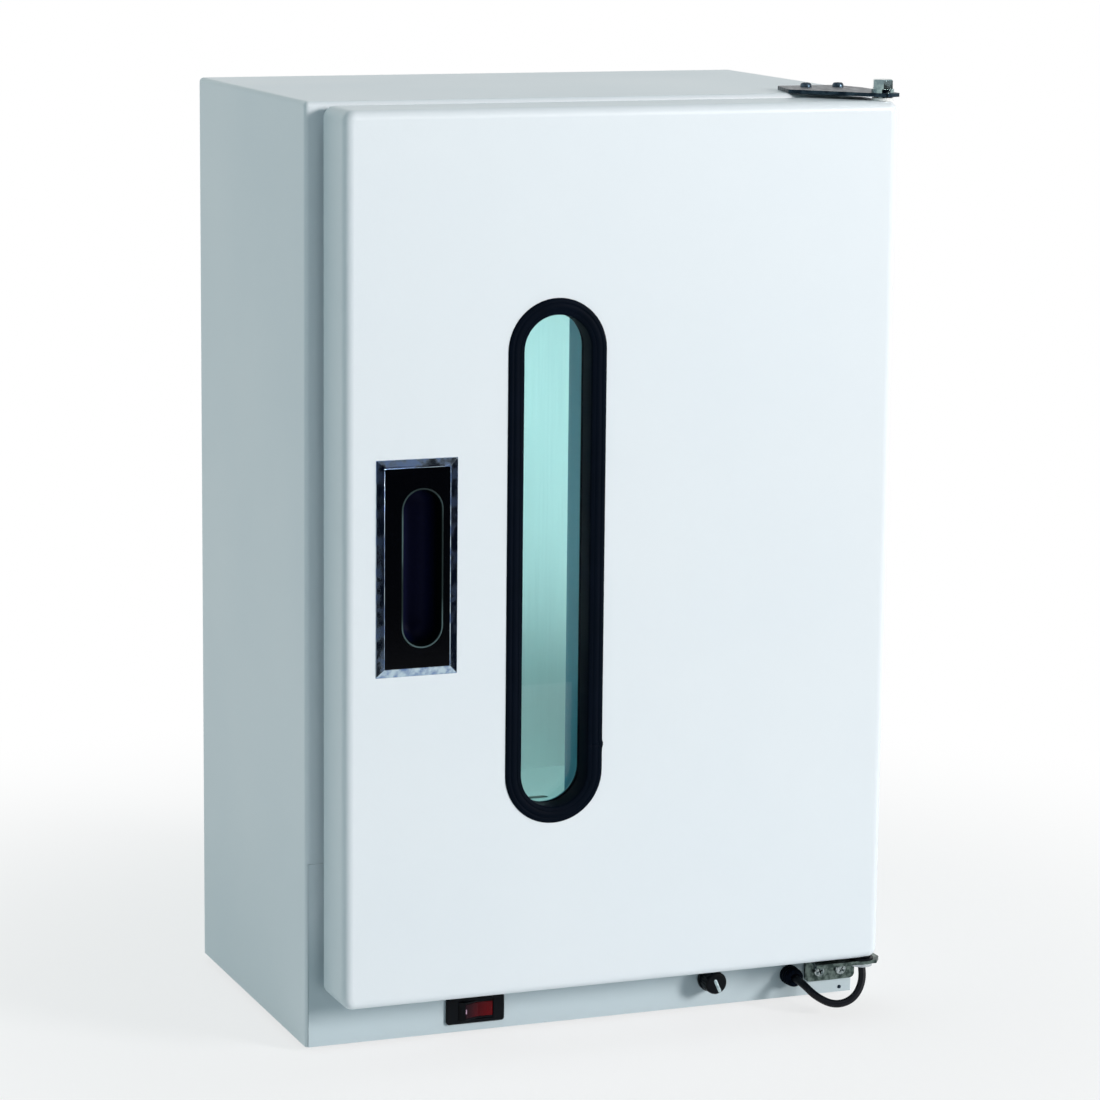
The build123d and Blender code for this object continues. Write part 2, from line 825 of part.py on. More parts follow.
# Door switch: a small sealed switch whose plunger the closed door holds in
def door_switch_body():
    body = block(plunger_x - plunger_body_width / 2, plunger_x + plunger_body_width / 2,
                 sheet, sheet + plunger_body_depth,
                 plunger_z - plunger_body_tall / 2, plunger_z + plunger_body_tall / 2)
    return body - rod_y(plunger_diameter + 2 * running_fit, plunger_x, plunger_z, 0,
                        sheet + plunger_body_depth - 2)


def switch_plunger():
    tip = door_back + plunger_gap
    plunger = rod_y(plunger_diameter, plunger_x, plunger_z, tip, sheet + plunger_inside)
    return fillet(plunger.faces().sort_by(Axis.Y)[0].edges(), 1.2)


# Top hinge: a flat plate on the roof that reaches over the door, with a bolt as the pivot
def top_hinge_plate():
    edge = right - top_plate_edge
    front = door_front - 1
    outline = Polyline(
        (right - top_plate_width, 1), (right - top_plate_width + top_plate_slant, top_plate_reach),
        (right - 10, top_plate_reach), (edge - 1, 10), (edge, pivot_y + 5), (edge, front + 3),
        (pivot_x - 1, front), close=True)
    plate = Pos(0, 0, top) * extrude(make_face(outline), hinge_plate)
    plate = fillet(plate.edges().filter_by(Axis.Z), 2.5)
    plate -= rod_z(pivot_bolt_diameter + 2 * seat_fit, pivot_x, pivot_y, top - 1, top + 2 * hinge_plate)
    for x, y in top_screw_spots:
        plate -= rod_z(hinge_screw + 2 * seat_fit, x, y, top - 1, top + 2 * hinge_plate)
    return plate


def top_hinge_screws():
    screws = []
    for x, y in top_screw_spots:
        screws.append(Pos(x, y, top + hinge_plate) * pan_screw(hinge_screw, top_hinge_screw_length))
    return Compound(children=screws)


def top_pivot_bolt():
    seat = top + hinge_plate
    head_seat = seat + bolt_washer_thickness
    head = Pos(pivot_x, pivot_y, head_seat) * extrude(
        RegularPolygon(bolt_head_flats / 2, 6, major_radius=False), bolt_head_height)
    head = chamfer(head.edges().group_by(Axis.Z)[-1], 0.5)
    head += rod_z(bolt_washer_diameter, pivot_x, pivot_y, seat, head_seat)
    shank_end = door_top - bush_length + 2
    return head + rod_z(pivot_bolt_diameter, pivot_x, pivot_y, shank_end, seat + 1)


# Bottom hinge: an angle screwed to the base panel that carries the door on a hollow sleeve
def bottom_hinge_bracket():
    plate = hinge_plate
    front = door_front + 2
    corner = right - bracket_width
    ledge = Polyline(
        (corner, front), (corner + 6, 0), (right, 0), (right, front + 6), (right - 4, front), close=True)
    bracket = Pos(0, 0, bracket_top - plate) * extrude(make_face(ledge), plate)
    wall_low = bottom + bracket_wall_lift
    wall = block(right - bracket_wall_width, right, -plate, 0, wall_low, bracket_top)
    bracket += fillet(wall.edges().filter_by(Axis.Y).group_by(Axis.Z)[0], 3)
    bracket -= rod_z(sleeve_diameter + 2 * seat_fit, pivot_x, pivot_y, wall_low, bracket_top + 1)
    for x, z in bracket_screw_spots:
        bracket -= rod_y(hinge_screw + 2 * seat_fit, x, z, -10, 10)
    return bracket


def bottom_hinge_screws():
    screws = []
    for x, z in bracket_screw_spots:
        screws.append(Pos(x, -hinge_plate, z) * to_front * pan_screw(hinge_screw, bracket_screw_length))
    return Compound(children=screws)


def bottom_pivot_sleeve():
    low = bracket_top - hinge_plate - collar_height
    high = door_bottom + sleeve_rise
    sleeve = rod_z(collar_diameter, pivot_x, pivot_y, low, low + collar_height)
    sleeve += rod_z(sleeve_diameter, pivot_x, pivot_y, low, high)
    sleeve -= rod_z(sleeve_bore, pivot_x, pivot_y, low - 1, high + 1)
    mouth = sleeve.edges().group_by(Axis.Z)[0].sort_by(SortBy.LENGTH)[0]
    return chamfer(mouth, 1)


def thrust_washer():
    washer = rod_z(washer_diameter, pivot_x, pivot_y, bracket_top, bracket_top + washer_thickness)
    return washer - rod_z(sleeve_diameter + 2 * seat_fit, pivot_x, pivot_y, 0, top)


# Gland and lead: the lead leaves the base, hangs in a short loop and rises through the sleeve
def lead_gland():
    gland = rod_y(gland_neck, gland_x, gland_z, -1, sheet + 6)
    collar = rod_y(gland_diameter, gland_x, gland_z, -gland_length, 0)
    gland += fillet(collar.faces().sort_by(Axis.Y)[0].edges(), 2)
    gland += rod_y(gland_diameter + 1, gland_x, gland_z, sheet, sheet + 3)
    return gland


lead_route = [
    (120.8, -8.5, 16.0),
    (120.9, -18.4, 15.8),
    (124.1, -28.4, 10.8),
    (132.8, -35.1, 6.7),
    (143.2, -37.0, 9.8),
    (149.2, -35.6, 19.2),
    (149.0, -33.0, 30.5),
    (149.0, -33.0, 41.0),
]


def lead_bends():
    spots = [Vector(*p) for p in lead_route]
    runs = [b - a for a, b in zip(spots, spots[1:])]
    radii = []
    for before, after in zip(runs, runs[1:]):
        turn = math.radians(before.get_angle(after))
        radii.append(0.45 * min(before.length, after.length) / math.tan(turn / 2))
    return radii


def door_lead():
    path = FilletPolyline(*lead_route, radius=lead_bends())
    section = Plane(origin=path @ 0, z_dir=path % 0) * Circle(lead_diameter / 2)
    lead = sweep(section, path=path)
    expected = math.pi * lead_diameter ** 2 / 4 * path.length
    print("lead radii", [round(r, 1) for r in lead_bends()], "length", round(path.length, 1))
    print("lead volume", round(lead.volume, 1), "section times length", round(expected, 1))
    return lead


# Door skin: a deep pan with a rolled front edge
def door_pan(inset, front, back, edge_radius, corner_radius):
    pan = block(door_left + inset, door_right - inset, front, back, door_bottom + inset, door_top - inset)
    pan = fillet(pan.edges().filter_by(Axis.Y), corner_radius)
    return fillet(pan.faces().sort_by(Axis.Y)[0].edges(), edge_radius)


def door_skin():
    t = door_sheet
    skin = door_pan(0, door_front, door_back, door_edge_radius, door_corner_radius)
    skin -= door_pan(t, door_front + t, door_back + 1, door_edge_radius - t, door_corner_radius - t)
    neck = window_width - 2 * rubber_neck
    skin -= stadium(neck, window_height - 2 * rubber_neck, window_centre_x, window_z,
                    door_front - 1, door_front + 2 * t)
    skin -= block(handle_centre_x - handle_width / 2 + handle_tub,
                  handle_centre_x + handle_width / 2 - handle_tub, door_front - 1, door_front + 2 * t,
                  handle_z - handle_height / 2 + handle_tub, handle_z + handle_height / 2 - handle_tub)
    skin -= rod_z(bush_diameter(sleeve_diameter) + 2 * seat_fit, pivot_x, pivot_y,
                  door_bottom - 1, door_bottom + door_edge_radius)
    skin -= rod_z(bush_diameter(pivot_bolt_diameter) + 2 * seat_fit, pivot_x, pivot_y,
                  door_top - door_edge_radius, door_top + 1)
    return skin


def bush_diameter(pin):
    return pin + 2 * running_fit + 2 * bush_wall


# Inner panel: closes the back of the door, with a slot for the window and one for the lamp
def door_inner_panel():
    t = door_sheet
    edge = t + seam
    panel = block(door_left + edge, door_right - edge, door_back - t, door_back,
                  door_bottom + edge, door_top - edge)
    panel = fillet(panel.edges().filter_by(Axis.Y), door_corner_radius - edge)
    grow = 2 * reveal_growth + 2 * reveal_wall + 2 * seat_fit
    slot = RectangleRounded(slot_inner_width + grow, slot_inner_height + grow + 2 * reveal_reach,
                            reveal_corner + reveal_wall)
    panel -= face_prism(slot, window_centre_x, window_z, door_back - 2 * t, door_back + 1)
    half = trough_width / 2 + seat_fit
    panel -= block(door_lamp_x - half, door_lamp_x + half, door_back - 2 * t, door_back + 1,
                   trough_low - seat_fit, trough_high + seat_fit)
    return panel


# Gasket: a soft bellows frame between the door and the casing, shown lightly squeezed
def door_gasket():
    x0 = door_left + gasket_inset
    x1 = door_right - gasket_inset
    z0 = door_bottom + gasket_inset
    z1 = door_top - gasket_inset
    depth = door_gap - gasket_gap
    w = gasket_width

    def ring(inset_out, inset_in, y0, y1):
        outer = RectangleRounded(x1 - x0 - 2 * inset_out, z1 - z0 - 2 * inset_out, 4)
        inner = RectangleRounded(x1 - x0 - 2 * inset_in, z1 - z0 - 2 * inset_in, 2)
        centre = ((x0 + x1) / 2, (z0 + z1) / 2)
        return face_prism(outer, *centre, y0, y1) - face_prism(inner, *centre, y0 - 1, y1 + 1)

    gasket = ring(0.8, w - 0.8, door_back, door_back + depth * 0.3)
    gasket += ring(0, w, door_back + depth * 0.3, door_back + depth * 0.45)
    gasket += ring(1.6, w - 1.6, door_back + depth * 0.45, door_back + depth * 0.6)
    gasket += ring(0, w, door_back + depth * 0.6, door_back + depth)
    return gasket


# Window rubber: one profile with a groove for the door skin and a second one for the glass
def window_rubber():
    t = door_sheet
    front = door_front - rubber_proud
    neck_width = window_width - 2 * rubber_neck - 2 * seat_fit
    neck_height = window_height - 2 * rubber_neck - 2 * seat_fit
    lip_width = window_width - 2 * rubber_lip
    lip_height = window_height - 2 * rubber_lip
    glass_back = glass_front + glass_thickness
    rear = glass_back + 2

    def layer(width, height, y0, y1):
        return stadium(width, height, window_centre_x, window_z, y0, y1)

    face = layer(window_width, window_height, front, door_front)
    face = fillet(face.faces().sort_by(Axis.Y)[0].edges(), 1.1)
    rubber = face + layer(neck_width, neck_height, door_front, rear)
    rubber += layer(lip_width, lip_height, door_front + t, door_front + t + 2.5)
    rubber -= layer(slot_inner_width, slot_inner_height, front - 1, rear + 1)
    rubber -= layer(glass_width + 2 * seat_fit, glass_height + 2 * seat_fit,
                    glass_front, glass_back)
    return rubber


def window_glass():
    return stadium(glass_width, glass_height, window_centre_x, window_z,
                   glass_front, glass_front + glass_thickness)


# Reveal: a moulded tunnel behind the glass, square in section and longer than the glass
def window_reveal():
    front = glass_front + glass_thickness + 2 + gasket_gap
    width = slot_inner_width + 2 * reveal_growth
    height = slot_inner_height + 2 * reveal_growth

    mask = front + reveal_wall

    def layer(grow, y0, y1):
        shape = RectangleRounded(width + 2 * grow, height + 2 * reveal_reach + 2 * grow, reveal_corner + grow)
        return face_prism(shape, window_centre_x, window_z, y0, y1)

    reveal = layer(reveal_wall, front, door_back)
    reveal += layer(reveal_wall + reveal_flange, door_back, door_back + 1)
    reveal -= layer(0, mask, door_back + 2)
    return reveal - stadium(width, height, window_centre_x, window_z, front - 1, mask + 1)


# Handle: a bright frame that slopes up to a black plate, and a stadium-shaped finger cup
def handle_bezel():
    front = door_front - handle_proud
    rear = front + plate_sink + plate_thickness + handle_seat
    inner_width = handle_width - 2 * handle_bevel
    inner_height = handle_height - 2 * handle_bevel
    foot = door_front - handle_edge
    outline = Rectangle(handle_width, handle_height)
    crest = Rectangle(inner_width + 2 * handle_land, inner_height + 2 * handle_land)
    place = Pos(handle_centre_x, 0, handle_z) * to_front
    border = face_prism(outline, handle_centre_x, handle_z, foot, door_front)
    border += loft([place * Pos(0, 0, -foot) * outline, place * Pos(0, 0, -front) * crest])
    tub = face_prism(
        Rectangle(handle_width - 2 * (handle_tub + seat_fit), handle_height - 2 * (handle_tub + seat_fit)),
        handle_centre_x, handle_z, door_front, rear)
    return border + tub - face_prism(Rectangle(inner_width, inner_height), handle_centre_x, handle_z,
                                     front - 1, rear + 1)


def handle_plate():
    plate_front = door_front - handle_proud + plate_sink
    plate = face_prism(
        Rectangle(handle_width - 2 * handle_bevel - 2 * seat_fit,
                  handle_height - 2 * handle_bevel - 2 * seat_fit),
        handle_centre_x, handle_z, plate_front, plate_front + plate_thickness)
    return plate - stadium(cup_width + 2 * cup_wall + 2 * seat_fit, cup_height + 2 * cup_wall + 2 * seat_fit,
                           handle_centre_x + cup_offset, handle_z - cup_drop,
                           plate_front - 1, plate_front + plate_thickness + 1)


def finger_cup():
    front = door_front - handle_proud + plate_sink
    rear = front + cup_depth
    x = handle_centre_x + cup_offset
    z = handle_z - cup_drop
    shell = stadium(cup_width + 2 * cup_wall, cup_height + 2 * cup_wall, x, z,
                    front - cup_rim_proud, rear + cup_wall)
    shell = fillet(shell.faces().sort_by(Axis.Y)[-1].edges(), cup_floor_radius + cup_wall)
    room = stadium(cup_width, cup_height, x, z, front - 5, rear)
    room = fillet(room.faces().sort_by(Axis.Y)[-1].edges(), cup_floor_radius)
    return shell - room


# Door hinge blocks and bushes
def hinge_blocks():
    t = door_sheet
    half = block_size / 2
    blocks = []
    for z0, z1, pin in (
        (door_bottom + t + door_edge_radius, door_bottom + t + bush_length, sleeve_diameter),
        (door_top - t - bush_length, door_top - t - door_edge_radius, pivot_bolt_diameter),
    ):
        piece = block(pivot_x - half, pivot_x + half, pivot_y - half, pivot_y + half, z0, z1)
        corner = piece.edges().filter_by(Axis.Z).group_by(Axis.X)[-1].sort_by(Axis.Y)[0]
        piece = fillet(corner, door_edge_radius)
        piece -= rod_z(bush_diameter(pin) + 2 * seat_fit, pivot_x, pivot_y, z0 - 1, z1 + 1)
        blocks.append(piece)
    return Compound(children=blocks)


def top_bush():
    low = door_top - bush_length
    bush = rod_z(bush_diameter(pivot_bolt_diameter), pivot_x, pivot_y, low, door_top + bush_flange)
    flange = bush_diameter(pivot_bolt_diameter) + 2 * bush_flange_rim
    bush += rod_z(flange, pivot_x, pivot_y, door_top, door_top + bush_flange)
    return bush - rod_z(pivot_bolt_diameter + 2 * running_fit, pivot_x, pivot_y, low - 1, top)


def bottom_bush():
    high = door_bottom + bush_length
    bush = rod_z(bush_diameter(sleeve_diameter), pivot_x, pivot_y, door_bottom, high)
    return bush - rod_z(sleeve_diameter + 2 * running_fit, pivot_x, pivot_y, door_bottom - 1, high + 1)


# Door lamp: a third lamp in a bright trough let into the inner panel
def door_lamp_trough():
    t = reflector_sheet
    half = trough_width / 2 - t / 2
    face = door_back + t / 2
    deep = door_back - trough_depth + t / 2
    bend = door_back - trough_depth / 3
    points = [(-half - trough_lip, face), (-half, face), (-half, bend), (-half + trough_slope, deep),
              (half - trough_slope, deep), (half, bend), (half, face), (half + trough_lip, face)]
    return Pos(door_lamp_x, 0, trough_low) * extrude(folded(points, t), trough_high - trough_low)


def door_lamp_holders():
    floor = door_back - trough_depth + reflector_sheet
    return Compound(children=holder_pair(door_lamp_x, floor, door_back - 1, door_lamp_y))


def door_lamp_tube():
    return lamp_glass(door_lamp_x, door_lamp_y)


def door_lamp_caps():
    return Compound(children=lamp_end_caps(door_lamp_x, door_lamp_y))


nodes = [
    outer_wrap, base_pan, back_cover, back_cover_screws, power_inlet, inlet_screws, feet, foot_screws,
    chamber_liner, shelf_runners, wire_shelf, floor_plate, lamp_tubes, lamp_caps, lamp_holders,
    lamp_reflectors, ballast, board_standoffs, control_board, terminal_block, switch_housing,
    switch_rocker, switch_lens, timer_body, timer_nut, timer_knob, timer_shaft, door_switch_body,
    switch_plunger, top_hinge_plate, top_hinge_screws, top_pivot_bolt, bottom_hinge_bracket,
    bottom_hinge_screws, bottom_pivot_sleeve, thrust_washer, lead_gland, door_lead, door_skin,
    door_inner_panel, door_gasket, window_rubber, window_glass, window_reveal, handle_bezel,
    handle_plate, finger_cup, hinge_blocks, top_bush, bottom_bush, door_lamp_trough,
    door_lamp_holders, door_lamp_tube, door_lamp_caps,
]

os.makedirs("parts", exist_ok=True)
for make in nodes:
    solid = Pos(0, centring, 0) * make()
    export_step(solid, f"parts/{make.__name__}.step")
print("nodes", len(nodes), "shift in Y", centring)
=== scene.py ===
import math

import bmesh
import bpy
from mathutils import Matrix, Vector
from mathutils.bvhtree import BVHTree


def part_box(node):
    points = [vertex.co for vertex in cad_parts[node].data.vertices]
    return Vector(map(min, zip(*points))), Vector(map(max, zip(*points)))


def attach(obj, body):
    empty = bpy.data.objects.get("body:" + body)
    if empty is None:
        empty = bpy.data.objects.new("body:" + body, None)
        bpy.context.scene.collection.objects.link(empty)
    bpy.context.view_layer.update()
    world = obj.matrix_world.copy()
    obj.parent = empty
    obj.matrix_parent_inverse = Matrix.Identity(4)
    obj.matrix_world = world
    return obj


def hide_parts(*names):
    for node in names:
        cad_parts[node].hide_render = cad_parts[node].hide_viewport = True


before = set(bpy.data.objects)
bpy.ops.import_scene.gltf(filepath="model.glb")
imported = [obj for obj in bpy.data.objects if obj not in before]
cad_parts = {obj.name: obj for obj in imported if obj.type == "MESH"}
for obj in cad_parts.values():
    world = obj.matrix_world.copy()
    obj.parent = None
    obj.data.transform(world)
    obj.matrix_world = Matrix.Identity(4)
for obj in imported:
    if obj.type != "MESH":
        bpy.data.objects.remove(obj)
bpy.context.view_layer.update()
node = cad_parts


# Casing: sheet steel folded over both sides and the top, a pan for the base and a louvred back,
# all powder coated white. The coat has a faint orange peel and a slightly uneven tone, and the
# base panel's coat greys toward its foot as painted shade under the door.
class Wire:
    """A shader socket that Python's operators work on; each operator adds one Math node."""

    def __init__(self, finish, socket):
        self.finish = finish
        self.socket = socket

    def math(self, operation, *values):
        return self.finish.node("ShaderNodeMath", {"operation": operation}, dict(enumerate(values)))

    def __add__(self, other):
        return self.math("ADD", self, other)

    def __sub__(self, other):
        return self.math("SUBTRACT", self, other)

    def __rsub__(self, other):
        return self.math("SUBTRACT", other, self)

    def __mul__(self, other):
        return self.math("MULTIPLY", self, other)

    __radd__ = __add__
    __rmul__ = __mul__


class Finish:
    """One material or world, built node by node."""

    def __init__(self, name, world=False):
        self.material = bpy.data.worlds.new(name) if world else bpy.data.materials.new(name)
        self.material.use_nodes = True
        self.tree = self.material.node_tree
        self.shader = self.tree.nodes["Background" if world else "Principled BSDF"]
        self.place = self.node("ShaderNodeTexCoord", {}, {}, "Generated" if world else "Object")

    def put(self, socket, value):
        if isinstance(value, Wire):
            self.tree.links.new(value.socket, socket)
        else:
            socket.default_value = value

    def node(self, kind, settings, inputs, output=0):
        made = self.tree.nodes.new(kind)
        for name, value in settings.items():
            setattr(made, name, value)
        for key, value in inputs.items():
            self.put(made.inputs[key], value)
        return Wire(self, made.outputs[output])

    def noise(self, size, detail=2, stretch=(1, 1, 1)):
        """Cloudy noise from 0 to 1 with blobs of about this size in metres."""
        spread = self.node("ShaderNodeVectorMath", {"operation": "MULTIPLY"}, {0: self.place, 1: stretch})
        return self.node("ShaderNodeTexNoise", {}, {"Vector": spread, "Scale": 1 / size, "Detail": detail})

    def between(self, value, low, high):
        """0 where value is under low, 1 where it is over high, and smooth in between."""
        return self.node("ShaderNodeMapRange", {"interpolation_type": "SMOOTHSTEP"},
                         {"Value": value, "From Min": low, "From Max": high})

    def mix(self, mask, first, second):
        return self.node("ShaderNodeMix", {"data_type": "RGBA"}, {0: mask, 6: first, 7: second}, 2)

    def along(self, axis):
        """The place along X, Y or Z in metres."""
        return self.node("ShaderNodeSeparateXYZ", {}, {0: self.place}, axis)

    def bump(self, height, depth, strength=1.0):
        return self.node("ShaderNodeBump", {}, {"Strength": strength, "Distance": depth, "Height": height},
                         "Normal")

    def surface(self, **sockets):
        """Sets the shader's sockets: base_color= for Base Color, and so on."""
        for name, value in sockets.items():
            label = name.replace("_", " ").title().replace("Ior", "IOR")
            self.put(self.shader.inputs[label], value)
        return self.material


def tint(red, green, blue):
    """A colour given as it looks on a screen, 0 to 255, as the linear values that a shader wants."""
    shares = [part / 255 for part in (red, green, blue)]
    return (*[s / 12.92 if s < 0.04045 else ((s + 0.055) / 1.055) ** 2.4 for s in shares], 1)


def dress(material, *names):
    for name in names:
        for place in node[name].material_slots:
            place.material = material


def powder_coat(name, colour, shade, painted_shade_colour=None):
    """Powder coat, greyed toward a given colour at its foot as painted shade."""
    cloud_size = 0.11
    peel_size = 0.0016
    peel_depth = 0.00004
    full_shade_height = 0.03
    unshaded_height = 0.085
    coat = Finish(name)
    tone = coat.noise(cloud_size, 3)
    peel = coat.noise(peel_size, 1)
    shown = coat.mix(tone, colour, shade)
    # Painted shade: under the unshaded height the coat greys toward the given colour.
    if painted_shade_colour:
        painted_shade_share = 1 - coat.between(coat.along("Z"), full_shade_height, unshaded_height)
        shown = coat.mix(painted_shade_share, shown, painted_shade_colour)
    return coat.surface(
        base_color=shown,
        roughness=0.3 + 0.1 * tone,
        normal=coat.bump(peel, peel_depth, 0.35),
    )


casing_white = tint(230, 237, 241)
casing_shade = tint(223, 232, 238)
dress(powder_coat("casing_coat", casing_white, casing_shade), "outer_wrap", "back_cover")
# Painted shade: the grey that the base panel's foot turns to, standing in for shade under the door.
painted_shade_grey = tint(188, 204, 210)
dress(powder_coat("base_coat", casing_white, casing_shade, painted_shade_grey), "base_pan")


# Feet: moulded black rubber discs, each held by a screw from below. The rubber is nearly black
# with a dry surface and a fine grain.
def moulded(name, colour, shade, rough, gloss, grain=0.0005, depth=0.00002):
    """Moulded plastic or rubber: one colour with a fine grain and a faint unevenness."""
    cloud_size = 0.02
    mould = Finish(name)
    tone = mould.noise(cloud_size, 2)
    fine = mould.noise(grain, 2)
    return mould.surface(
        base_color=mould.mix(tone, colour, shade),
        roughness=rough + 0.08 * fine,
        specular_ior_level=gloss,
        normal=mould.bump(fine, depth, 0.5),
    )


black_rubber = moulded("black_rubber", tint(1, 7, 16), tint(6, 14, 27), 0.55, gloss=0.03)
dress(black_rubber, "feet")


# Screws: zinc-plated pan heads with a cross recess, four sizes. Each head is turned as a low dome
# and the recess is pressed in; the shanks are in the sheet and don't show.
def lathe(profile, sides):
    """A closed body turned about Z from (radius, height) points, the first and last on the axis."""
    mesh = bmesh.new()
    rings = []
    for radius, height in profile:
        turns = [2 * math.pi * i / sides for i in range(sides if radius > 0 else 1)]
        rings.append([mesh.verts.new((radius * math.cos(t), radius * math.sin(t), height)) for t in turns])
    for lower, upper in zip(rings, rings[1:]):
        for i in range(sides):
            j = (i + 1) % sides
            corners = (lower[i % len(lower)], lower[j % len(lower)],
                       upper[j % len(upper)], upper[i % len(upper)])
            mesh.faces.new(dict.fromkeys(corners))
    return mesh


def settle(mesh, name, crease=35):
    """Turns a bmesh into an object in the scene, smooth except over edges sharper than crease degrees."""
    bmesh.ops.recalc_face_normals(mesh, faces=mesh.faces)
    for edge in mesh.edges:
        edge.smooth = len(edge.link_faces) == 2 and edge.calc_face_angle(0) < math.radians(crease)
    data = bpy.data.meshes.new(name)
    mesh.to_mesh(data)
    mesh.free()
    for face in data.polygons:
        face.use_smooth = True
    piece = bpy.data.objects.new(name, data)
    bpy.context.collection.objects.link(piece)
    return piece


def turned(name, profile, sides, outward, place, crease=35):
    """A turned piece: the profile goes round a line that points outward from a place."""
    mesh = lathe(profile, sides)
    aim = Vector(outward).to_track_quat("Z", "Y").to_matrix()
    for vert in mesh.verts:
        vert.co = aim @ vert.co + Vector(place)
    return settle(mesh, name, crease)


def cut_away(piece, tool):
    """Takes the tool's shape out of the piece, and the tool out of the scene."""
    cutter = piece.modifiers.new("cut", "BOOLEAN")
    cutter.operation = "DIFFERENCE"
    cutter.solver = "EXACT"
    cutter.object = tool
    bpy.context.view_layer.update()
    mesh = bmesh.new()
    mesh.from_mesh(bpy.data.meshes.new_from_object(
        piece.evaluated_get(bpy.context.evaluated_depsgraph_get())))
    name = piece.name
    bpy.data.objects.remove(tool)
    bpy.data.objects.remove(piece)
    return settle(mesh, name)


def screw_head(width, tall):
    """A pan head of this width with its seat at the origin and a cross pressed into it."""
    radius = width / 2
    crown = 0.6
    rim = 0.35
    steps = 6
    dome = [(0, 0), (radius, 0), (radius, rim * tall)]
    for i in range(1, steps):
        angle = math.pi / 2 * i / steps
        dome.append((radius * (crown + (1 - crown) * math.cos(angle)),
                     tall * (rim + (1 - rim) * math.sin(angle))))
    dome += [(radius * crown, tall), (0, tall)]
    head = settle(lathe(dome, 32), "head")
    arm = 0.56 * radius
    blade = 0.12 * radius
    taper = 0.7
    recess_floor = 0.35 * tall
    clear_of_head = 1.2 * tall
    outline = []
    for turn in range(4):
        spin = Matrix.Rotation(math.pi / 2 * turn, 3, "Z")
        outline += [spin @ Vector((arm, -blade, 0)), spin @ Vector((arm, blade, 0)),
                    spin @ Vector((blade, blade, 0))]
    cross = bmesh.new()
    floor = [cross.verts.new((taper * p.x, taper * p.y, recess_floor)) for p in outline]
    mouth = [cross.verts.new((p.x, p.y, clear_of_head)) for p in outline]
    cross.faces.new(floor)
    cross.faces.new(mouth)
    for i in range(len(outline)):
        j = (i + 1) % len(outline)
        cross.faces.new((floor[i], floor[j], mouth[j], mouth[i]))
    return cut_away(head, settle(cross, "recess"))


def head_places(name, outward, tall):
    """The middle of each head's seat: the CAD node has one loose solid for each screw."""
    solids = bmesh.new()
    solids.from_mesh(node[name].data)
    bmesh.ops.remove_doubles(solids, verts=solids.verts, dist=1e-6)
    left = set(solids.verts)
    places = []
    while left:
        island = [left.pop()]
        for vert in island:
            for edge in vert.link_edges:
                other = edge.other_vert(vert)
                if other in left:
                    left.remove(other)
                    island.append(other)
        spots = [vert.co.copy() for vert in island]
        middle = Vector([(min(s[i] for s in spots) + max(s[i] for s in spots)) / 2 for i in range(3)])
        tip = max(spot.dot(outward) for spot in spots)
        places.append(middle + outward * (tip - tall - middle.dot(outward)))
    solids.free()
    return sorted(places, key=lambda p: (round(p.x, 4), round(p.z, 4), round(p.y, 4)))


def screw_heads(name, width, tall, outward, finish):
    """Modelled heads in place of a CAD node's plain screws, each driven home to its own angle."""
    first_turn = 20
    turn_step = 37
    outward = Vector(outward)
    master = screw_head(width, tall)
    group = bmesh.new()
    for i, place in enumerate(head_places(name, outward, tall)):
        start = len(group.verts)
        group.from_mesh(master.data)
        group.verts.ensure_lookup_table()
        turn = Matrix.Rotation(math.radians(first_turn + turn_step * i), 3, "Z")
        aim = outward.to_track_quat("Z", "Y").to_matrix() @ turn
        for vert in group.verts[start:]:
            vert.co = aim @ vert.co + place
    bpy.data.objects.remove(master)
    piece = settle(group, name.replace("screws", "screw_heads"))
    piece.data.materials.append(finish)
    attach(piece, "cabinet")
    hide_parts(name)


def plated(name, colour, shade, rough, spangle=0.004, grain_depth=0.00002):
    """Zinc plate: a cloudy, slightly crystalline metal."""
    grain_size = 0.0004
    plate = Finish(name)
    cloud = plate.between(plate.noise(spangle, 3), 0.35, 0.65)
    grain = plate.noise(grain_size, 2)
    return plate.surface(
        base_color=plate.mix(cloud, colour, shade),
        metallic=1.0,
        roughness=rough + 0.12 * cloud,
        normal=plate.bump(grain, grain_depth, 0.5),
    )


bright_zinc = plated("bright_zinc", tint(196, 202, 206), tint(170, 178, 184), 0.25)
dull_zinc = plated("dull_zinc", tint(66, 82, 94), tint(34, 46, 58), 0.3)
screw_heads("back_cover_screws", 0.007, 0.002, (0, 1, 0), bright_zinc)
screw_heads("inlet_screws", 0.006, 0.0018, (0, 1, 0), bright_zinc)
screw_heads("top_hinge_screws", 0.0062, 0.003, (0, 0, 1), dull_zinc)
worn_zinc = plated("worn_zinc", tint(176, 186, 188), tint(96, 110, 112), 0.22, 0.0015)
screw_heads("bottom_hinge_screws", 0.0066, 0.0024, (0, -1, 0), worn_zinc)
dress(bright_zinc, "foot_screws")


# Rivet: a small dull pop rivet near the right end of the base panel. It is turned, and it stands
# 0.6 mm proud of the sheet.
panel_face = -0.07625
rivet_profile = [
    (0, -0.0003), (0.0011, -0.0003), (0.0011, 0.0001), (0.0008, 0.0005), (0.0003, 0.0006), (0, 0.0006),
]
rivet_place = (0.1519, panel_face, 0.0057)
rivet = turned("panel_rivet", rivet_profile, 20, (0, -1, 0), rivet_place)
rivet.data.materials.append(dull_zinc)
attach(rivet, "cabinet")


# Mains inlet: a black moulded socket with three pins, set in the back cover and held by two
# screws. The plastic is nearly black, with a slight sheen.
black_plastic = moulded("black_plastic", tint(3, 7, 12), tint(7, 12, 18), 0.34, gloss=0.09)
dress(black_plastic, "power_inlet")


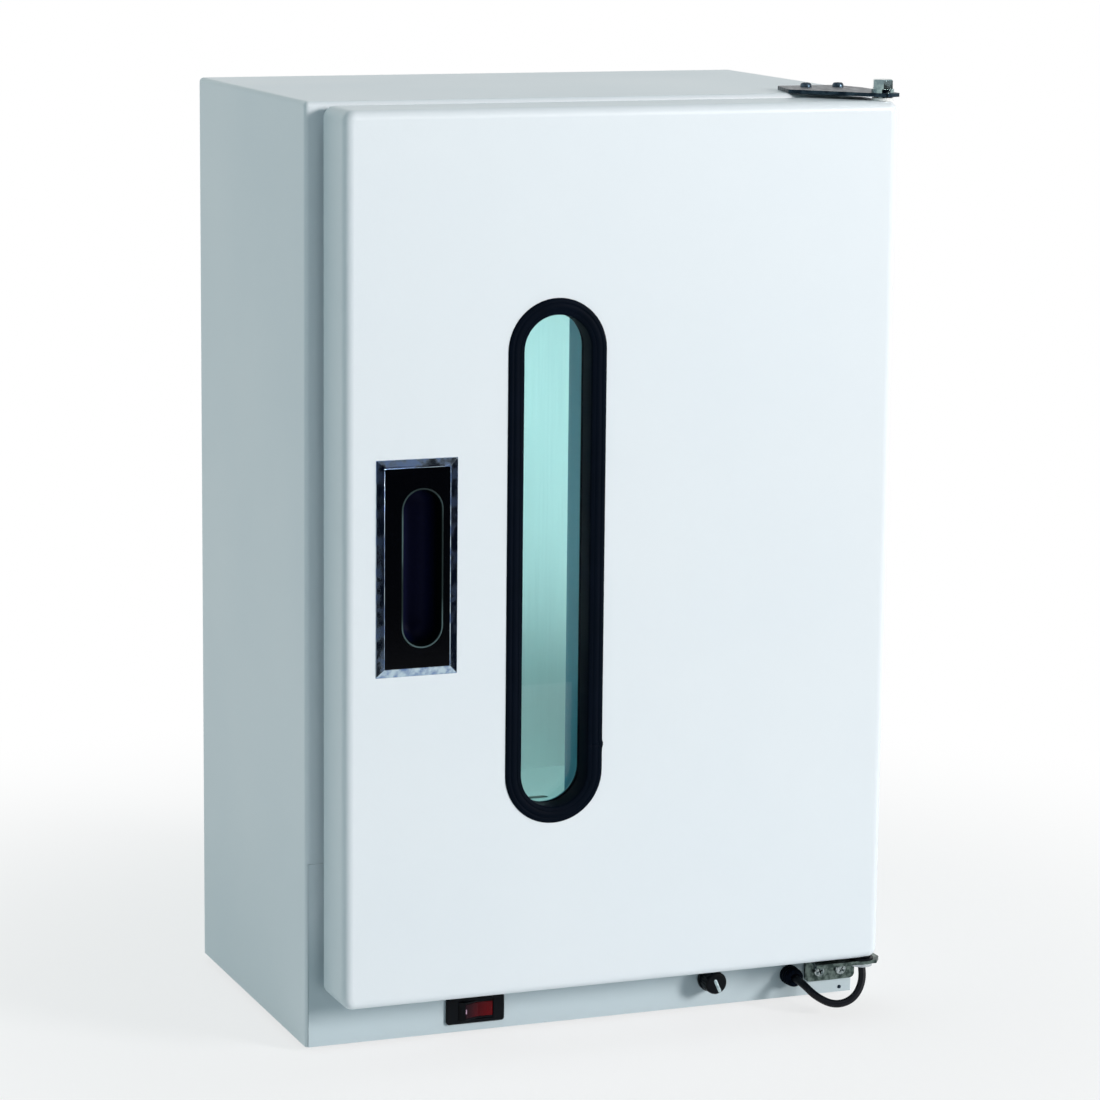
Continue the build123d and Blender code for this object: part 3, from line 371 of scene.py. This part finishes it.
# Chamber: a stainless box with a perforated plate on its floor and a wire shelf on two runners.
# The sheet is fine brushed along its length; the wires are polished.
def brushed(name, colour, shade, rough, stretch, streak=0.0012):
    """Brushed metal: long thin streaks, drawn out along the axis whose stretch is small."""
    cloud_size = 0.06
    metal = Finish(name)
    lines = metal.noise(streak, 2, stretch)
    broad = metal.noise(cloud_size, 2)
    return metal.surface(
        base_color=metal.mix(lines, colour, shade),
        metallic=1.0,
        roughness=rough + 0.1 * lines + 0.06 * broad,
        normal=metal.bump(lines, 0.00001, 0.3),
    )


stainless = brushed("stainless_sheet", tint(206, 226, 224), tint(192, 213, 212), 0.38, (1, 1, 0.02))
dress(stainless, "chamber_liner", "shelf_runners", "floor_plate")
dress(brushed("shelf_wire", tint(216, 220, 222), tint(200, 206, 208), 0.18, (1, 0.05, 1)), "wire_shelf")


# Lamps: clear quartz tubes that glow pale blue, with satin metal caps, white holders and polished
# reflector strips. Two stand in the rear corners of the chamber and one is in the door.
lamp_glow = Finish("lamp_glow")
lamp_haze = lamp_glow.noise(0.01, 2)
lamp_glow.surface(
    base_color=lamp_glow.mix(lamp_haze, tint(214, 236, 242), tint(196, 226, 236)),
    roughness=0.12,
    emission_color=tint(236, 246, 248),
    emission_strength=5.4,
)
dress(lamp_glow.material, "lamp_tubes", "door_lamp_tube")
dress(brushed("lamp_cap_metal", tint(216, 218, 220), tint(198, 201, 204), 0.28, (1, 1, 0.03)),
      "lamp_caps", "door_lamp_caps")
white_plastic = moulded("white_plastic", tint(228, 230, 228), tint(218, 221, 220), 0.4, gloss=0.4)
dress(white_plastic, "lamp_holders", "door_lamp_holders", "terminal_block")
dress(brushed("reflector_sheet", tint(226, 229, 231), tint(214, 218, 221), 0.12, (1, 1, 0.02)),
      "lamp_reflectors", "door_lamp_trough")


# Inside the casing: an enamelled ballast, a green control board on nylon posts, the clockwork body
# of the timer, and the door switch with its nylon plunger at the chamber's mouth.
dress(moulded("ballast_enamel", tint(38, 39, 41), tint(48, 49, 52), 0.45, gloss=0.5), "ballast")
dress(moulded("board_resin", tint(30, 104, 58), tint(24, 88, 50), 0.42, gloss=0.5), "control_board")
nylon = moulded("nylon", tint(226, 228, 226), tint(214, 217, 216), 0.45, gloss=0.4)
dress(nylon, "board_standoffs", "switch_plunger")
dress(black_plastic, "timer_body", "door_switch_body")


# Mains switch: a black snap-in housing with a rocker on trunnions and a dark red lens let into it.
# The edges are softened as a moulding's are, and the lens carries a plain upright mark for on.
def softened(name, body, finish, width, sharp=30):
    """A copy of a CAD piece with edges over this many degrees rounded, shown in place of that piece."""
    crease = 18
    mesh = bmesh.new()
    mesh.from_mesh(node[name].data)
    bmesh.ops.remove_doubles(mesh, verts=mesh.verts, dist=1e-6)
    piece = settle(mesh, name + "_softened", crease)
    edges = piece.modifiers.new("soft_edges", "BEVEL")
    edges.width = width
    edges.segments = 2
    edges.limit_method = "ANGLE"
    edges.angle_limit = math.radians(sharp)
    edges.harden_normals = True
    piece.data.materials.append(finish)
    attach(piece, body)
    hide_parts(name)
    return piece


def front_of(name, x, z):
    """The place and the normal where a line straight back from the front first meets a CAD piece."""
    mesh = bmesh.new()
    mesh.from_mesh(node[name].data)
    place, normal, _, _ = BVHTree.FromBMesh(mesh).ray_cast(Vector((x, -1, z)), Vector((0, 1, 0)))
    mesh.free()
    return place, normal


def arc(middle, radius, start, end, steps=8):
    """Points along part of a circle, from one angle to another in degrees."""
    points = []
    for i in range(steps + 1):
        angle = math.radians(start + (end - start) * i / steps)
        points.append((middle[0] + radius * math.cos(angle), middle[1] + radius * math.sin(angle)))
    return points


def bar(name, surface, lean, long, wide, proud, sunk):
    """A flat bar with round ends that lies on a surface, leaning to the right of upright."""
    place, outward = surface
    half_run = (long - wide) / 2
    outline = arc((0, half_run), wide / 2, 0, 180) + arc((0, -half_run), wide / 2, 180, 360)
    mesh = bmesh.new()
    rings = []
    rounding = 0.4 * proud
    for inset, height in ((0, -sunk), (0, proud - rounding), (rounding, proud)):
        share = 1 - 2 * inset / wide
        rings.append([mesh.verts.new((x * share, y * share, height)) for x, y in outline])
    for lower, upper in zip(rings, rings[1:]):
        for i in range(len(outline)):
            j = (i + 1) % len(outline)
            mesh.faces.new((lower[i], lower[j], upper[j], upper[i]))
    mesh.faces.new(rings[0])
    mesh.faces.new(rings[-1])
    across = Vector((0, 0, 1)).cross(outward).normalized()
    upright = outward.cross(across)
    aim = Matrix((across, upright, outward)).transposed() @ Matrix.Rotation(-lean, 3, "Z")
    for vert in mesh.verts:
        vert.co = aim @ vert.co + place
    return settle(mesh, name)


softened("switch_housing", "cabinet", black_plastic, 0.0004)
softened("switch_rocker", "rocker", black_plastic, 0.0003)
lens_low, lens_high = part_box("switch_lens")
red_lens = Finish("red_lens")
# Painted light: the lens runs from dark maroon at its left to brighter red at its right, as if lit from
# the right.
painted_light_share = red_lens.between(red_lens.along("X"), lens_low.x, lens_high.x)
red_lens.surface(
    base_color=red_lens.mix(painted_light_share, tint(24, 0, 12), tint(90, 0, 8)),
    roughness=0.12 + 0.06 * red_lens.noise(0.0006),
    specular_ior_level=0.12,
)
softened("switch_lens", "rocker", red_lens.material, 0.0003)
mark_from_edge = 0.0012
mark_surface = front_of("switch_lens", lens_low.x + mark_from_edge, (lens_low.z + lens_high.z) / 2)
on_mark = bar("on_mark", mark_surface, lean=0, long=0.0026, wide=0.0007, proud=0.00004, sunk=0.0002)
mark_paint = moulded("mark_paint", tint(196, 168, 190), tint(170, 140, 166), 0.5, gloss=0.3)
on_mark.data.materials.append(mark_paint)
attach(on_mark, "rocker")


# Timer knob: a fluted black moulding pushed on the timer's shaft, with a satin metal pointer let
# into its face. The pointer leans to the left of upright at rest.
softened("timer_knob", "knob", black_plastic, 0.0002)
dress(bright_zinc, "timer_nut", "timer_shaft")
pointer_surface = front_of("timer_knob", 0.07175, 0.0178)
pointer = bar("knob_pointer", pointer_surface, lean=math.radians(-24), long=0.0081, wide=0.0018,
              proud=0.00015, sunk=0.0008)
pointer_satin = plated("pointer_satin", tint(176, 194, 198), tint(140, 160, 166), 0.4, 0.002)
pointer.data.materials.append(pointer_satin)
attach(pointer, "knob")


# Hinges: punched plates of dull zinc-plated steel, a hexagon bolt as the upper pivot and a turned
# hollow sleeve as the lower one. The washer that the door turns on is black acetal.
plate_zinc = plated("plate_zinc", tint(48, 64, 74), tint(24, 36, 46), 0.32)
softened("top_hinge_plate", "cabinet", plate_zinc, 0.0003)
bracket_zinc = plated("bracket_zinc", tint(104, 118, 114), tint(52, 64, 62), 0.28, 0.0025)
softened("bottom_hinge_bracket", "cabinet", bracket_zinc, 0.0003)
bolt_zinc = plated("bolt_zinc", tint(150, 172, 170), tint(116, 136, 140), 0.08, 0.004, 0.000004)
bolt = softened("top_pivot_bolt", "cabinet", bolt_zinc, 0.0003)
bolt_low, bolt_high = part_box("top_pivot_bolt")
bolt_axis = (bolt_low + bolt_high) / 2
flat_to_camera = math.radians(8.7)
bolt.data.transform(Matrix.Translation(bolt_axis) @ Matrix.Rotation(flat_to_camera, 4, "Z")
                    @ Matrix.Translation(-bolt_axis))
dress(dull_zinc, "hinge_blocks")
dress(bright_zinc, "bottom_pivot_sleeve")
dress(black_plastic, "thrust_washer", "bottom_bush")
dress(white_plastic, "top_bush")


# Door lead: a thin round cable with a soft black jacket. It leaves the gland straight to the
# front, hangs in one short loop and turns up into the hollow lower pivot of the door.
lead_thickness = 0.0042
lead_route = [
    (0.1208, -0.08475, 0.0160),
    (0.1209, -0.09465, 0.0158),
    (0.1241, -0.10465, 0.0108),
    (0.1328, -0.11135, 0.0067),
    (0.1432, -0.11325, 0.0098),
    (0.1492, -0.11185, 0.0192),
    (0.1490, -0.10925, 0.0305),
    (0.1490, -0.10925, 0.0410),
]


def cable(name, route, thickness):
    curve = bpy.data.curves.new(name, "CURVE")
    curve.dimensions = "3D"
    spline = curve.splines.new("NURBS")
    spline.points.add(len(route) - 1)
    for point, place in zip(spline.points, route):
        point.co = (*place, 1)
    spline.order_u = 3
    spline.use_endpoint_u = True
    spline.resolution_u = 16
    curve.bevel_depth = thickness / 2
    curve.bevel_resolution = 8
    curve.use_fill_caps = True
    piece = bpy.data.objects.new(name, curve)
    bpy.context.collection.objects.link(piece)
    return piece


lead = cable("lead_cable", lead_route, lead_thickness)
lead.data.materials.append(moulded("lead_jacket", tint(4, 7, 14), tint(9, 13, 23), 0.4, gloss=0.2))
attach(lead, "cabinet")
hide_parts("door_lead")


# Lead gland: a ribbed rubber bush pushed through the base panel, with a collar behind the sheet.
# It is turned as one profile round the lead's hole.
gland_profile = [
    (0, -0.0071), (0.004, -0.0071), (0.004, -0.0042), (0.006, -0.0042), (0.006, -0.0012), (0.004, -0.0012),
    (0.004, 0), (0.0055, 0), (0.0055, 0.0018), (0.0051, 0.0020), (0.0051, 0.0026), (0.0054, 0.0028),
    (0.0054, 0.0040), (0.0050, 0.0042), (0.0050, 0.0048), (0.0053, 0.0050), (0.0053, 0.0062),
    (0.0049, 0.0064), (0.0049, 0.0070), (0.0051, 0.0072), (0.0050, 0.0081), (0.0046, 0.0085),
    (0.0024, 0.0085), (0.0022, 0.0078), (0, 0.0078),
]
gland_place = (lead_route[0][0], panel_face, lead_route[0][2])
gland = turned("gland_bush", gland_profile, 40, (0, -1, 0), gland_place, crease=60)
gland.data.materials.append(black_rubber)
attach(gland, "cabinet")
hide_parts("lead_gland")


# Door: a deep steel pan with a rolled front edge and a flat inner panel, coated like the casing,
# with a soft grey bellows gasket round the back.
dress(powder_coat("door_coat", casing_white, casing_shade), "door_skin", "door_inner_panel")
# The gasket's grey-green is partly its own grey and partly painted shade for the gap round the door.
dress(moulded("gasket_vinyl", tint(128, 150, 152), tint(112, 136, 140), 0.6, gloss=0.2), "door_gasket")


# Window rubber: one extruded black profile that grips the door's skin and the glass. It has a
# low domed face with the edges of its locking strip, and its ends meet in a joint on the right.
def slot_sweep(profile, middle, half_run, heights=(), capped=False):
    """Carries (radius, depth) points round an upright slot whose middle is given in x and z."""
    x, z = middle
    arc_steps = 28
    stations = []
    for i in range(arc_steps + 1):
        stations.append((half_run, math.pi * i / arc_steps))
    for i in range(arc_steps + 1):
        stations.append((-half_run, math.pi + math.pi * i / arc_steps))
    for height in heights:
        stations.append((height - z, 2 * math.pi))
    mesh = bmesh.new()
    rings = []
    for radius, depth in profile:
        places = [(x + radius * math.cos(turn), depth, z + rise + radius * math.sin(turn))
                  for rise, turn in stations]
        rings.append([mesh.verts.new(place) for place in places])
    for lower, upper in zip(rings, rings[1:]):
        for i in range(len(stations)):
            j = (i + 1) % len(stations)
            mesh.faces.new((lower[i], lower[j], upper[j], upper[i]))
    if capped:
        mesh.faces.new(rings[0])
        mesh.faces.new(rings[-1])
    return mesh


def depths(points):
    """Profile points in millimetres, with depth counted from the casing's front face, in metres."""
    return [(radius / 1000, panel_face + depth / 1000) for radius, depth in points]


rubber_low, rubber_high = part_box("window_rubber")
window_middle = ((rubber_low.x + rubber_high.x) / 2, (rubber_low.z + rubber_high.z) / 2)
rubber_radius = (rubber_high.x - rubber_low.x) / 2
window_half_run = (rubber_high.z - rubber_low.z) / 2 - rubber_radius
rubber_points = [
    (19.3, -23), (19.1, -25), (20.5, -25), (20.5, -29), (18.5, -29), (18.5, -40.2), (18.65, -40.8),
    (19.0, -41.2), (19.6, -41.42), (20.7, -41.5), (20.85, -41.3), (21.05, -41.3), (21.2, -41.48),
    (23.0, -41.5), (24.2, -41.46), (24.35, -41.26), (24.55, -41.26), (24.7, -41.42), (25.8, -41.3),
    (26.6, -40.95), (27.1, -40.45), (27.25, -40.02), (25, -40.02), (22.65, -40.02), (22.65, -39.1),
    (24.2, -39), (24.2, -37), (22.65, -36.5), (22.65, -23), (19.3, -23),
]
joint_height = 0.166
joint_steps = (-0.0045, -0.003, -0.002, -0.0012, -0.0006, -0.0002,
               0, 0.0002, 0.0006, 0.0012, 0.002, 0.003, 0.0045)
joint_reach = 0.005
bulge = 0.0007
bulge_spread = 0.0016
notch = 0.0004
notch_spread = 0.00025
face_depth = 0.04
face_inner = 0.0185
rubber_mesh = slot_sweep(depths(rubber_points), window_middle, window_half_run,
                         [joint_height + step for step in joint_steps])
for vert in rubber_mesh.verts:
    along = abs(vert.co.z - joint_height)
    if vert.co.x > window_middle[0] and along < joint_reach and vert.co.y < panel_face - face_depth:
        outer = (vert.co.x - window_middle[0] - face_inner) / (rubber_radius - face_inner)
        vert.co.x += bulge * math.exp(-(along / bulge_spread) ** 2) * outer
        vert.co.y += notch * math.exp(-(along / notch_spread) ** 2)
bmesh.ops.remove_doubles(rubber_mesh, verts=rubber_mesh.verts, dist=1e-7)
rubber = settle(rubber_mesh, "window_seal", crease=55)
rubber.data.materials.append(black_rubber)
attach(rubber, "door")
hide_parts("window_rubber")


# Window glass and reveal: blue-green tinted glass held in the rubber's inner groove, with a
# grey-blue moulded tunnel behind it that lines the door.
glass = Finish("tinted_glass")
dress(glass.surface(base_color=tint(221, 241, 236), roughness=0.0, transmission_weight=1.0, ior=1.45),
      "window_glass")
reveal_moulding = moulded("reveal_moulding", tint(82, 152, 172), tint(70, 138, 160), 0.45, gloss=0.3)
dress(reveal_moulding, "window_reveal")


# Handle: a bright plated frame whose borders slope up from the door and meet in mitres, with a
# gloss black plate set in it. The plating is mottled, its darker blue patches a painted reflection,
# and its edges are barely rounded.
# Painted reflection: the plating's darker tone is blue, standing in for blue surroundings mirrored in it.
frame_plating = plated("frame_plating", tint(186, 206, 218), tint(112, 138, 178), 0.07, 0.005, 0.000003)
softened("handle_bezel", "door", frame_plating, 0.0002, sharp=12)
dress(moulded("gloss_black", tint(1, 2, 4), tint(3, 4, 8), 0.1, gloss=0.2), "handle_plate")


# Finger cup: a gloss black moulding pressed into the plate, with a thin rounded rim and a floor that
# runs into the walls in one curve. The rim's light grey, stronger in some patches, is a painted
# highlight, and the navy on the floor is a painted reflection.
cup_low, cup_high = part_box("finger_cup")
cup_middle = ((cup_low.x + cup_high.x) / 2, (cup_low.z + cup_high.z) / 2)
cup_outer = 1000 * (cup_high.x - cup_low.x) / 2
cup_half_run = (cup_high.z - cup_low.z) / 2 - cup_outer / 1000
cup_wall = 1.2
cup_inner = cup_outer - cup_wall
cup_front = 1000 * (cup_low.y - panel_face)
cup_rear = 1000 * (cup_high.y - panel_face)
inner_bend = 8.5
outer_bend = 5
rim_bend = cup_wall / 2
cup_points = arc((cup_inner - inner_bend, cup_rear - cup_wall - inner_bend), inner_bend, 90, 0)
cup_points += arc((cup_inner + rim_bend, cup_front + rim_bend), rim_bend, 180, 360)
cup_points += arc((cup_outer - outer_bend, cup_rear - outer_bend), outer_bend, 0, 90)
cup_mesh = slot_sweep(depths(cup_points), cup_middle, cup_half_run, capped=True)
cup = settle(cup_mesh, "finger_pull", crease=60)
cup_black = Finish("cup_black")
behind_rim = cup_black.along("Y") - cup_low.y
# Painted highlight: the rim's front edge is tinted light grey, more in some patches than in others.
rim_highlight_patches = cup_black.between(cup_black.noise(0.03), 0.4, 0.65)
rim_highlight_share = (1 - cup_black.between(behind_rim, 0.00005, 0.00025)) * (0.2 + 0.8 * rim_highlight_patches)
# Painted reflection: the floor and the deep part of the walls are tinted navy.
floor_reflection_share = cup_black.between(behind_rim, 0.007, cup_high.y - cup_low.y)
cup_tone_with_reflection = cup_black.mix(floor_reflection_share, tint(0, 5, 5), tint(8, 12, 48))
cup_black.surface(
    base_color=cup_black.mix(rim_highlight_share, cup_tone_with_reflection, tint(78, 98, 100)),
    roughness=0.42 + 0.1 * cup_black.noise(0.0008),
    specular_ior_level=0.06,
)
cup.data.materials.append(cup_black.material)
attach(cup, "door")
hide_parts("finger_cup")


# Studio: a pale floor that fades to white away from the cabinet, white surroundings, one large
# soft lamp to the right of the front, and a dark screen and mat that only glossy parts see.
def watched(finish):
    """1 for the camera, in reflections and through glass, and 0 for the light that falls on things."""
    camera_sees, mirror_sees, glass_sees = [
        finish.node("ShaderNodeLightPath", {}, {}, ray)
        for ray in ("Is Camera Ray", "Is Glossy Ray", "Is Transmission Ray")]
    return camera_sees.math("MAXIMUM", camera_sees, mirror_sees.math("MAXIMUM", mirror_sees, glass_sees))


studio_white = (1, 1, 1, 1)
front_tone = tint(84, 98, 106)
rear_tone = tint(205, 228, 227)
brighter_way = Vector((-0.3, 0.85, -0.4)).normalized()
sky = Finish("studio", world=True)
bpy.context.scene.world = sky.material
way = sky.node("ShaderNodeVectorMath", {"operation": "DOT_PRODUCT"},
               {0: sky.place, 1: brighter_way}, "Value")
sky_tone = sky.mix(0.5 + 0.5 * way, front_tone, rear_tone)
sky.surface(color=sky.mix(watched(sky), sky_tone, studio_white), strength=1.0)


def panel(name, corners):
    """A flat four-cornered sheet."""
    mesh = bmesh.new()
    mesh.faces.new([mesh.verts.new(corner) for corner in corners])
    return settle(mesh, name)


side = 8
floor = panel("studio_floor", [(-side, -side, 0), (side, -side, 0), (side, side, 0), (-side, side, 0)])
paper = Finish("studio_paper")
paper.surface(base_color=tint(240, 243, 245), roughness=0.8, specular_ior_level=0.1)
reach = paper.node("ShaderNodeVectorMath", {"operation": "LENGTH"}, {0: paper.place}, "Value")
far_off = paper.between(reach, 0.2, 0.7)
shadow_share = 0.28
whiteness = watched(paper) * (1 - shadow_share + shadow_share * far_off)
lit_paper = Wire(paper, paper.shader.outputs["BSDF"])
white_light = paper.node("ShaderNodeEmission", {}, {"Color": studio_white, "Strength": 1.0})
faded = paper.node("ShaderNodeMixShader", {}, {0: whiteness, 1: lit_paper, 2: white_light})
paper.put(paper.tree.nodes["Material Output"].inputs["Surface"], faded)
floor.data.materials.append(paper.material)

studio_cloth = moulded("studio_cloth", tint(14, 22, 40), tint(8, 14, 28), 0.9, gloss=0.0)
screen_y = -0.945
screen_left = -0.42
screen_top = 0.71
cloth_right = 1.6
mat_left = 0.45
mat_rear = -0.35
mat_top = 0.001
for name, corners in (
    ("studio_screen", [(screen_left, screen_y, 0), (cloth_right, screen_y, 0),
                       (cloth_right, screen_y, screen_top), (screen_left, screen_y, screen_top)]),
    ("studio_mat", [(mat_left, screen_y, mat_top), (cloth_right, screen_y, mat_top),
                    (cloth_right, mat_rear, mat_top), (mat_left, mat_rear, mat_top)]),
):
    cloth = panel(name, corners)
    cloth.data.materials.append(studio_cloth)
    cloth.visible_camera = False
    cloth.visible_diffuse = False
    cloth.visible_transmission = False
    cloth.visible_shadow = False

lamp_place = Vector((3.2, -3.9, 1.6))
lamp_aim = Vector((0, 0, 0.25))
lamp = bpy.data.lights.new("key_lamp", "AREA")
lamp.shape = "DISK"
lamp.size = 1.4
lamp.energy = 232
lamp.color = (1.0, 0.94, 0.92)
lamp_stand = bpy.data.objects.new("key_lamp", lamp)
bpy.context.collection.objects.link(lamp_stand)
lamp_stand.location = lamp_place
lamp_stand.rotation_euler = (lamp_aim - lamp_place).to_track_quat("-Z", "Y").to_euler()


# Camera: to the left of the front and a little above the top, with a long lens, turned down and
# very slightly rolled.
camera_place = Vector((-0.7807, -2.01625, 0.6485))
camera_yaw = math.radians(21.31)
camera_pitch = math.radians(10.47)
camera_roll = math.radians(0.58)
camera = bpy.data.objects.new("camera", bpy.data.cameras.new("camera"))
bpy.context.collection.objects.link(camera)
camera.matrix_world = Matrix.Translation(camera_place) @ (
    Matrix.Rotation(-camera_yaw, 3, "Z")
    @ Matrix.Rotation(math.pi / 2 - camera_pitch, 3, "X")
    @ Matrix.Rotation(camera_roll, 3, "Z")
).to_4x4()
camera.data.sensor_width = 36
camera.data.lens = 130.58
bpy.context.scene.camera = camera

bpy.context.scene.view_settings.view_transform = "Standard"
